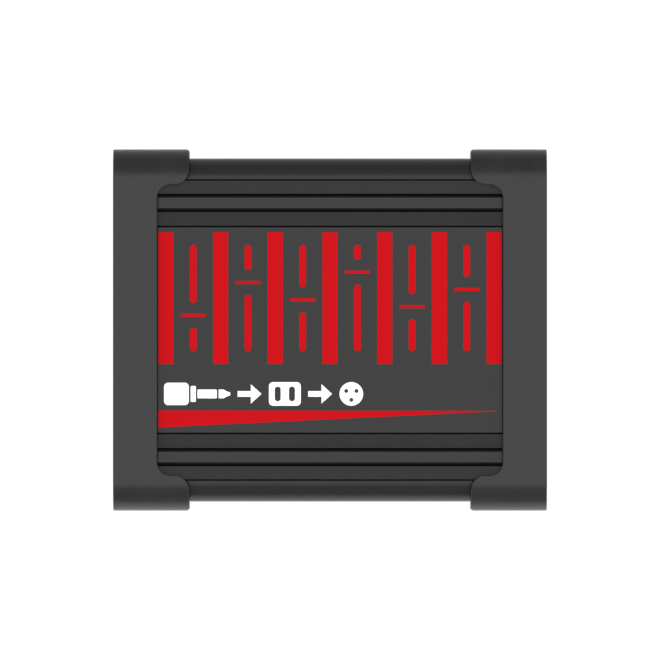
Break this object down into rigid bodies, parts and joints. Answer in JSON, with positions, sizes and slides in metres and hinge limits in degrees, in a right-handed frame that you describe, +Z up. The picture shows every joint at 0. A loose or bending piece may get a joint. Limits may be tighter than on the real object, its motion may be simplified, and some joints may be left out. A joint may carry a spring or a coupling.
{
  "type": "direct injection box",
  "caption": "Active direct injection box: black ribbed aluminium tube with rubber bumpers at both ends, recessed panels with three-pin sockets, jacks and switches, and a battery drawer.",
  "frame": {"origin": "middle of the footprint, on the surface the box lies on", "axes": "+X along the box from the input end to the output end, +Y to the left when looking along +X, +Z up through the label"},
  "size_m": [0.1524, 0.127, 0.06],
  "materials": {
    "anodised_black": "satin black anodised, fine texture",
    "label_film": "printed polycarbonate film",
    "bumper_rubber": "matte moulded rubber",
    "panel_paint": "satin black powder coat",
    "black_screw": "black oxide",
    "board_green": "solder resist",
    "shield_can": "bare nickel iron",
    "core_iron": "laminated",
    "bobbin_plastic": "natural nylon",
    "winding_copper": "enamelled copper, taped",
    "chip_black": "epoxy",
    "capacitor_sleeve": "shrink sleeve",
    "film_box": "moulded case",
    "resistor_blue": "lacquer",
    "connector_black": "black plated die casting",
    "insert_black": "glass-filled nylon",
    "gold_contact": "gold plated",
    "bright_steel": "zinc plated",
    "nickel": "bright nickel plate",
    "jack_plastic": "glass-filled nylon",
    "switch_plastic": "moulded",
    "pad_cap": "moulded",
    "lift_cap": "moulded",
    "slider_white": "moulded",
    "lamp_red": "clear tinted epoxy",
    "lead_white": "insulation",
    "lead_red": "insulation",
    "lead_black": "insulation",
    "drawer_plastic": "textured moulding",
    "battery_jacket": "printed steel jacket"
  },
  "bodies": {
    "box": {"enclosure_body": "anodised_black", "top_label": "label_film", "input_bumper": "bumper_rubber", "output_bumper": "bumper_rubber", "input_panel": "panel_paint", "output_panel": "panel_paint", "input_panel_screws": "black_screw", "output_panel_screws": "black_screw", "circuit_board": "board_green", "transformer_can": "shield_can", "transformer_core": "core_iron", "transformer_bobbin": "bobbin_plastic", "transformer_winding": "winding_copper", "op_amps": "chip_black", "electrolytic_capacitors": "capacitor_sleeve", "film_capacitors": "film_box", "resistors": "resistor_blue", "xlr_in_shell": "connector_black", "xlr_in_insert": "insert_black", "xlr_in_contacts": "gold_contact", "xlr_in_latch_pin": "bright_steel", "xlr_in_leads": "lead_white", "xlr_out_shell": "connector_black", "xlr_out_insert": "insert_black", "xlr_out_pins": "gold_contact", "xlr_out_leads": "lead_white", "xlr_screws": "black_screw", "jack_input_housing": "jack_plastic", "jack_input_bushing": "nickel", "jack_input_contacts": "gold_contact", "jack_link_housing": "jack_plastic", "jack_link_bushing": "nickel", "jack_link_contacts": "gold_contact", "jack_washers": "nickel", "jack_nuts": "nickel", "pad_a_housing": "switch_plastic", "pad_a_spring": "bright_steel", "pad_b_housing": "switch_plastic", "pad_b_spring": "bright_steel", "ground_lift_housing": "switch_plastic", "ground_lift_spring": "bright_steel", "power_switch_frame": "bright_steel", "power_switch_base": "jack_plastic", "power_switch_terminals": "bright_steel", "power_switch_screws": "black_screw", "power_leads": "lead_white", "led_bezel": "nickel", "led_lamp": "lamp_red", "battery_sleeve": "drawer_plastic", "battery_contacts": "bright_steel", "battery_lead_red": "lead_red", "battery_lead_black": "lead_black"},
    "xlr_latch": {"xlr_in_latch": "bright_steel"},
    "pad_a_plunger": {"pad_a_button": "pad_cap"},
    "pad_b_plunger": {"pad_b_button": "pad_cap"},
    "ground_lift_plunger": {"ground_lift_button": "lift_cap"},
    "power_slider": {"power_switch_lever": "slider_white"},
    "battery_drawer": {"battery_tray": "drawer_plastic", "battery": "battery_jacket", "battery_terminals": "nickel"}
  },
  "joints": [
    {"name": "latch_rock", "type": "hinge", "parent": "box", "child": "xlr_latch", "pos_m": [-0.0709, 0.036, 0.0425], "axis": [0, -1, 0], "range_deg": [0, 8], "stiffness_Nm_per_rad": 0.06, "springref_deg": -5.73},
    {"name": "pad_a_press", "type": "slide", "parent": "box", "child": "pad_a_plunger", "axis": [1, 0, 0], "range_m": [0, 0.0025], "stiffness_N_per_m": 400, "springref_m": -0.001, "deforming": ["pad_a_spring"]},
    {"name": "pad_b_press", "type": "slide", "parent": "box", "child": "pad_b_plunger", "axis": [1, 0, 0], "range_m": [0, 0.0025], "stiffness_N_per_m": 400, "springref_m": -0.001, "deforming": ["pad_b_spring"]},
    {"name": "ground_lift_press", "type": "slide", "parent": "box", "child": "ground_lift_plunger", "axis": [-1, 0, 0], "range_m": [0, 0.0025], "stiffness_N_per_m": 400, "springref_m": -0.001, "deforming": ["ground_lift_spring"]},
    {"name": "power_slide", "type": "slide", "parent": "box", "child": "power_slider", "axis": [0, 0, 1], "range_m": [0, 0.004]},
    {"name": "drawer_slide", "type": "slide", "parent": "box", "child": "battery_drawer", "axis": [1, 0, 0], "range_m": [0, 0.046]}
  ]
}
